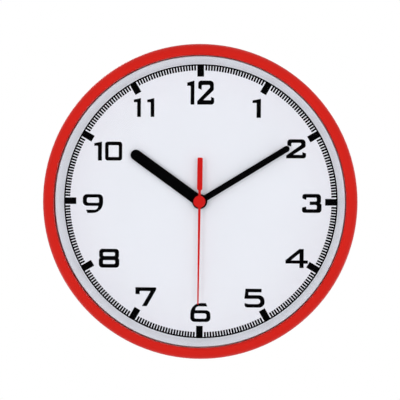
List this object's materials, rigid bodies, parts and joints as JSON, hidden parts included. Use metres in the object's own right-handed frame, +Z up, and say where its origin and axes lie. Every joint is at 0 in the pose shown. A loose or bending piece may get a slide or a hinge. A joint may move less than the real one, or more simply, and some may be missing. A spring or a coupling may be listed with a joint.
{
  "type": "wall clock",
  "caption": "Round battery wall clock with a red moulded rim, flat lens, printed white dial, hour, minute and second hands, and a clipped-in quartz movement.",
  "frame": {"origin": "on the hands' axis in the wall plane, at the centre of the rim's back edge", "axes": "+Y into the wall, +Z up towards twelve, +X to the right as the dial is read; the dial faces -Y"},
  "size_m": [0.2, 0.036, 0.2],
  "materials": {
    "rim_red": "polished moulding",
    "lens_clear": "clear, polished",
    "ring_white": "fine satin moulding",
    "dial_white": "matt printed card",
    "back_white": "satin moulding",
    "hand_black": "matt black paint on thin sheet",
    "second_red": "satin red paint on thin sheet",
    "cap_red": "satin moulding",
    "movement_black": "fine spark-eroded texture",
    "plate_ivory": "satin moulding",
    "wheel_plastic": "natural moulded resin",
    "wheel_black": "moulded resin",
    "pipe_brass": "turned",
    "steel": "bright",
    "magnet_grey": "sintered",
    "knob_white": "fluted moulding",
    "copper": "enamelled wire",
    "board_tan": "laminate",
    "resin_black": "moulded drop",
    "cell_wrap": "plain satin film over a steel can"
  },
  "bodies": {
    "case": {"bezel": "rim_red", "lens": "lens_clear", "spacer_ring": "ring_white", "dial": "dial_white", "case_back": "back_white", "movement_housing": "movement_black", "movement_cover": "movement_black", "train_plate": "plate_ivory", "stator": "steel", "coil_core": "steel", "coil_bobbin": "wheel_plastic", "coil_winding": "copper", "circuit_board": "board_tan", "driver_chip": "resin_black", "quartz_crystal": "steel", "positive_contact": "steel", "negative_contact": "steel"},
    "second": {"second_hand": "second_red", "second_hand_hub": "cap_red", "seconds_wheel": "wheel_plastic", "seconds_arbor": "steel"},
    "minute": {"minute_hand": "hand_black", "minute_pipe": "pipe_brass", "friction_washer": "pipe_brass"},
    "hour": {"hour_hand": "hand_black", "hour_wheel": "wheel_black"},
    "rotor": {"rotor_pinion": "wheel_plastic", "rotor_magnet": "magnet_grey"},
    "intermediate": {"intermediate_wheel": "wheel_plastic"},
    "third": {"third_wheel": "wheel_plastic"},
    "minute_drive": {"minute_wheel": "wheel_plastic"},
    "motion": {"motion_wheel": "wheel_black"},
    "setting": {"setting_shaft": "wheel_black", "setting_knob": "knob_white"},
    "battery": {"battery_cell": "cell_wrap"}
  },
  "joints": [
    {"name": "second_turn", "type": "hinge", "parent": "case", "child": "second", "pos_m": [0, 0, 0], "axis": [0, 1, 0], "continuous": true},
    {"name": "minute_turn", "type": "hinge", "parent": "case", "child": "minute", "pos_m": [0, 0, 0], "axis": [0, 1, 0], "continuous": true},
    {"name": "hour_turn", "type": "hinge", "parent": "case", "child": "hour", "pos_m": [0, 0, 0], "axis": [0, 1, 0], "continuous": true},
    {"name": "rotor_turn", "type": "hinge", "parent": "case", "child": "rotor", "pos_m": [-0.01719, 0, 0.00378], "axis": [0, 1, 0], "continuous": true},
    {"name": "intermediate_turn", "type": "hinge", "parent": "case", "child": "intermediate", "pos_m": [-0.00897, 0, 0.00078], "axis": [0, 1, 0], "continuous": true},
    {"name": "third_turn", "type": "hinge", "parent": "case", "child": "third", "pos_m": [0.00562, 0, 0.00974], "axis": [0, 1, 0], "continuous": true},
    {"name": "minute_drive_turn", "type": "hinge", "parent": "case", "child": "minute_drive", "pos_m": [0, 0, 0], "axis": [0, 1, 0], "continuous": true},
    {"name": "motion_turn", "type": "hinge", "parent": "case", "child": "motion", "pos_m": [0.00886, 0, -0.00156], "axis": [0, 1, 0], "continuous": true},
    {"name": "setting_turn", "type": "hinge", "parent": "case", "child": "setting", "pos_m": [0.0181, 0, 0.00007], "axis": [0, 1, 0], "continuous": true},
    {"name": "battery_out", "type": "slide", "parent": "case", "child": "battery", "axis": [0, 1, 0], "range_m": [0, 0.03]}
  ],
  "couplings": [
    {"joint": "intermediate_turn", "follows": "second_turn", "ratio": -5},
    {"joint": "rotor_turn", "follows": "second_turn", "ratio": 30},
    {"joint": "third_turn", "follows": "second_turn", "ratio": -0.125},
    {"joint": "minute_drive_turn", "follows": "second_turn", "ratio": 0.016667},
    {"joint": "motion_turn", "follows": "minute_turn", "ratio": -0.33333},
    {"joint": "hour_turn", "follows": "minute_turn", "ratio": 0.083333},
    {"joint": "setting_turn", "follows": "minute_turn", "ratio": 0.85714}
  ]
}
